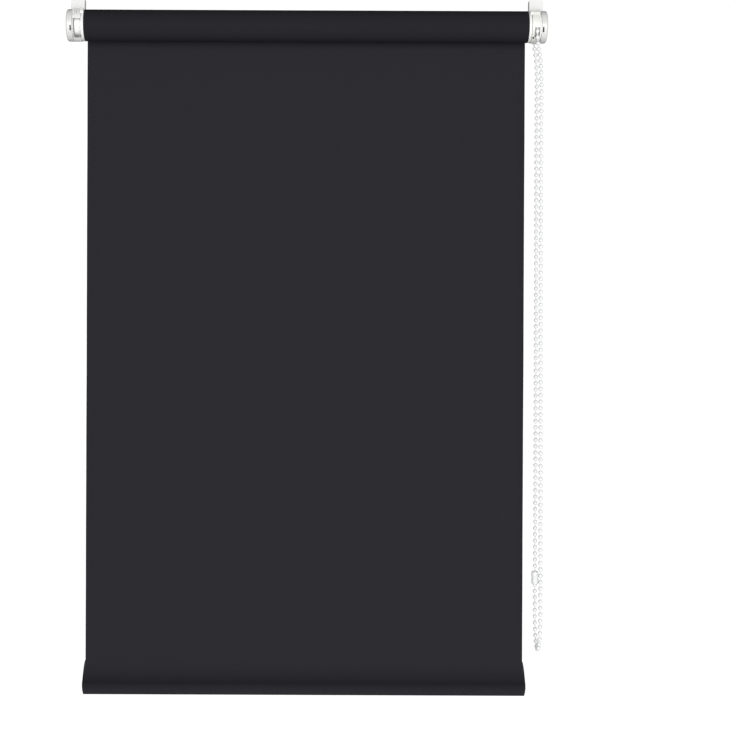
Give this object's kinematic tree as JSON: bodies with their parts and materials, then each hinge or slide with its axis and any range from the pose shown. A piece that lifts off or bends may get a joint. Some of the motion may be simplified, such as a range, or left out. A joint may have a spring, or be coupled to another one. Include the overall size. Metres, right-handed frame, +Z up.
{
  "type": "roller blind",
  "caption": "Clamp-fit roller blind: cloth on a spring-pinned roller turned by a bead chain, with a weighted hem and hooks over the sash.",
  "frame": {"origin": "on the window sash's top front edge, midway between the two hooks", "axes": "+X to the chain side, -Y towards the room, +Z up"},
  "size_m": [0.45, 0.0909, 0.6587],
  "materials": {
    "white_plastic": "glossy white moulding",
    "chain_plastic": "pale grey, slightly clear",
    "zinc_steel": "zinc plated",
    "painted_steel": "painted white",
    "tube_steel": "rolled steel tube",
    "cloth": "anthracite blackout weave, coated on the back",
    "dark_plastic": "black",
    "foam": "self-adhesive foam",
    "bar_plastic": "extruded"
  },
  "bodies": {
    "hooks_and_brackets": {"bracket_left": "white_plastic", "bracket_right": "white_plastic", "bracket_screw_left": "painted_steel", "bracket_screw_right": "zinc_steel", "chain_connector": "chain_plastic", "chain_guard": "white_plastic", "chain_loop": "chain_plastic", "chain_wrap": "chain_plastic", "clamp_hook_left": "white_plastic", "clamp_hook_right": "white_plastic", "clamp_nut_left": "zinc_steel", "clamp_nut_right": "zinc_steel", "clutch_spindle": "white_plastic", "cover_cap_left": "white_plastic", "cover_cap_right": "white_plastic", "sash_pad_left": "foam", "sash_pad_right": "foam", "spindle_clip": "zinc_steel"},
    "roller": {"roller_tube": "tube_steel", "fabric_roll": "cloth", "idle_end_plug": "white_plastic", "pin_spring": "zinc_steel", "pin_retainer": "white_plastic", "drive_sleeve": "white_plastic", "chain_wheel": "white_plastic", "wrap_spring_1": "zinc_steel", "wrap_spring_2": "zinc_steel"},
    "idle_pin": {"idle_pin": "white_plastic"},
    "hem": {"fabric_drop": "cloth", "hem_pocket": "cloth", "hem_bar": "bar_plastic", "hem_cap_left": "dark_plastic", "hem_cap_right": "dark_plastic"},
    "clamp_pad_left": {"clamp_pad_left": "dark_plastic"},
    "clamp_screw_left": {"clamp_screw_left": "zinc_steel"},
    "clamp_pad_right": {"clamp_pad_right": "dark_plastic"},
    "clamp_screw_right": {"clamp_screw_right": "zinc_steel"}
  },
  "joints": [
    {"name": "roller_turn", "type": "hinge", "parent": "hooks_and_brackets", "child": "roller", "pos_m": [0, -0.022, -0.025], "axis": [1, 0, 0], "range_deg": [-3240, 2160]},
    {"name": "hem_travel", "type": "slide", "parent": "hooks_and_brackets", "child": "hem", "axis": [0, 0, 1], "range_m": [-0.81, 0.54], "deforming": ["fabric_drop"]},
    {"name": "idle_pin_slide", "type": "slide", "parent": "roller", "child": "idle_pin", "axis": [1, 0, 0], "range_m": [0, 0.005], "stiffness_N_per_m": 600, "springref_m": -0.004, "deforming": ["pin_spring"]},
    {"name": "clamp_pad_left_slide", "type": "slide", "parent": "hooks_and_brackets", "child": "clamp_pad_left", "axis": [0, 1, 0], "range_m": [0, 0.0042]},
    {"name": "clamp_screw_left_turn", "type": "hinge", "parent": "clamp_pad_left", "child": "clamp_screw_left", "pos_m": [-0.2201, 0.024, -0.009], "axis": [0, 1, 0], "range_deg": [0, 2160]},
    {"name": "clamp_pad_right_slide", "type": "slide", "parent": "hooks_and_brackets", "child": "clamp_pad_right", "axis": [0, 1, 0], "range_m": [0, 0.0042]},
    {"name": "clamp_screw_right_turn", "type": "hinge", "parent": "clamp_pad_right", "child": "clamp_screw_right", "pos_m": [0.2201, 0.024, -0.009], "axis": [0, 1, 0], "range_deg": [0, 2160]}
  ],
  "couplings": [
    {"joint": "hem_travel", "follows": "roller_turn", "m_per_rad": 0.014275},
    {"joint": "clamp_screw_left_turn", "follows": "clamp_pad_left_slide", "rad_per_m": 8976},
    {"joint": "clamp_screw_right_turn", "follows": "clamp_pad_right_slide", "rad_per_m": 8976}
  ]
}
